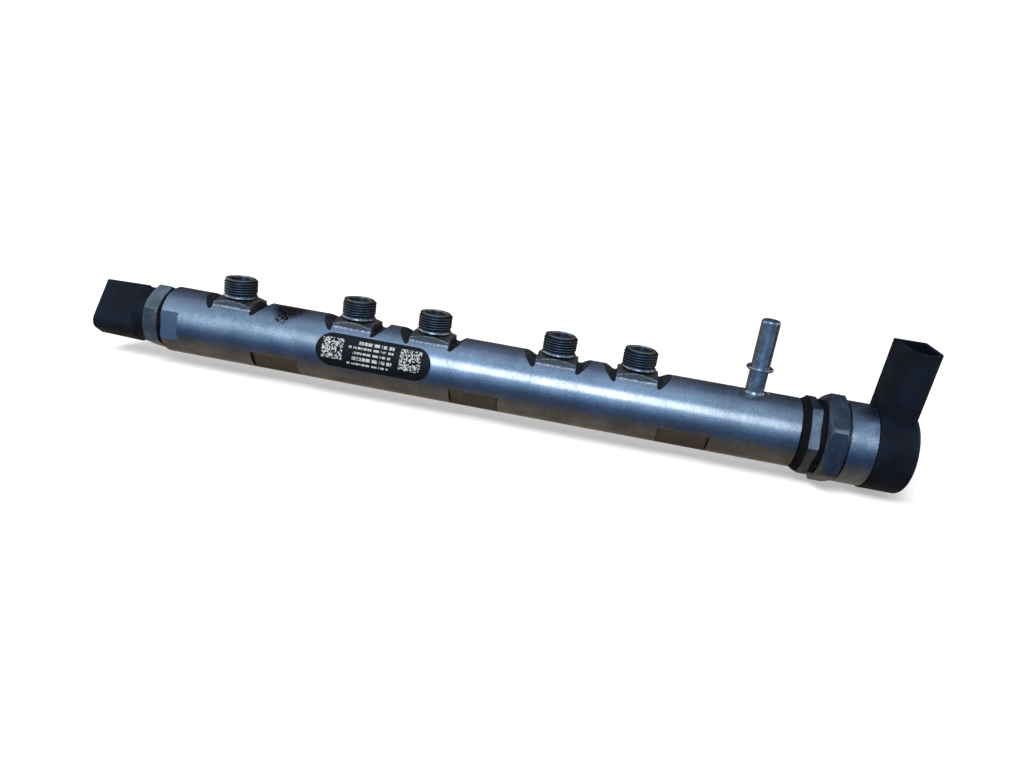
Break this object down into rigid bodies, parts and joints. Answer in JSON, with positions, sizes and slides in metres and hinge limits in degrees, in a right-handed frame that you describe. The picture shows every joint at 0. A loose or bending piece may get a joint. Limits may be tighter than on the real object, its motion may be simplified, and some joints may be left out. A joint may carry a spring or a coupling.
{
  "type": "fuel rail",
  "caption": "High-pressure diesel fuel rail: thick round steel tube with threaded port nipples, return stub, pressure sensor at one end and solenoid pressure valve at the other.",
  "frame": {"origin": "on the rail tube's axis, in the middle of the middle bracket seat", "axes": "+X along the rail towards the pressure valve, +Z along the port nipples away from the tube, -Y towards the side with the label and bracket seats"},
  "size_m": [0.3641, 0.0362, 0.0655],
  "materials": {
    "rail_steel": "satin, machined",
    "stub_steel": "satin, drawn",
    "nut_steel": "satin, phosphated",
    "sensor_steel": "satin",
    "sleeve_steel": "satin, blued",
    "hard_steel": "ground",
    "seal_rubber": "matt",
    "black_plastic": "matt",
    "pale_plastic": "matt",
    "label_film": "satin",
    "circuit_board": "satin",
    "contact_metal": "tinned",
    "copper_wire": "enamelled"
  },
  "bodies": {
    "rail": {"rail_body": "rail_steel", "return_stub": "stub_steel", "label": "label_film", "sensor_seal_ring": "seal_rubber", "sensor_body": "sensor_steel", "sensor_diaphragm": "sensor_steel", "sensor_board": "circuit_board", "sensor_terminals": "contact_metal", "sensor_connector": "black_plastic", "lock_nut_seal_ring": "seal_rubber", "lock_nut": "nut_steel", "valve_seal_ring": "seal_rubber", "valve_body": "nut_steel", "valve_o_ring": "seal_rubber", "valve_support_ring": "pale_plastic", "valve_seat": "hard_steel", "armature_spring": "hard_steel", "guide_tube": "hard_steel", "end_plug": "hard_steel", "coil_bobbin": "pale_plastic", "coil_winding": "copper_wire", "coil_sleeve": "sleeve_steel", "valve_terminals": "contact_metal", "solenoid_cap": "black_plastic", "throttle_insert_1": "hard_steel", "throttle_insert_2": "hard_steel", "throttle_insert_3": "hard_steel", "throttle_insert_4": "hard_steel", "throttle_insert_5": "hard_steel"},
    "armature": {"valve_armature": "hard_steel", "valve_ball": "hard_steel"}
  },
  "joints": [
    {"name": "armature_slide", "type": "slide", "parent": "rail", "child": "armature", "axis": [1, 0, 0], "range_m": [0, 0.0003], "stiffness_N_per_m": 1500, "springref_m": -0.002, "deforming": ["armature_spring"]}
  ]
}
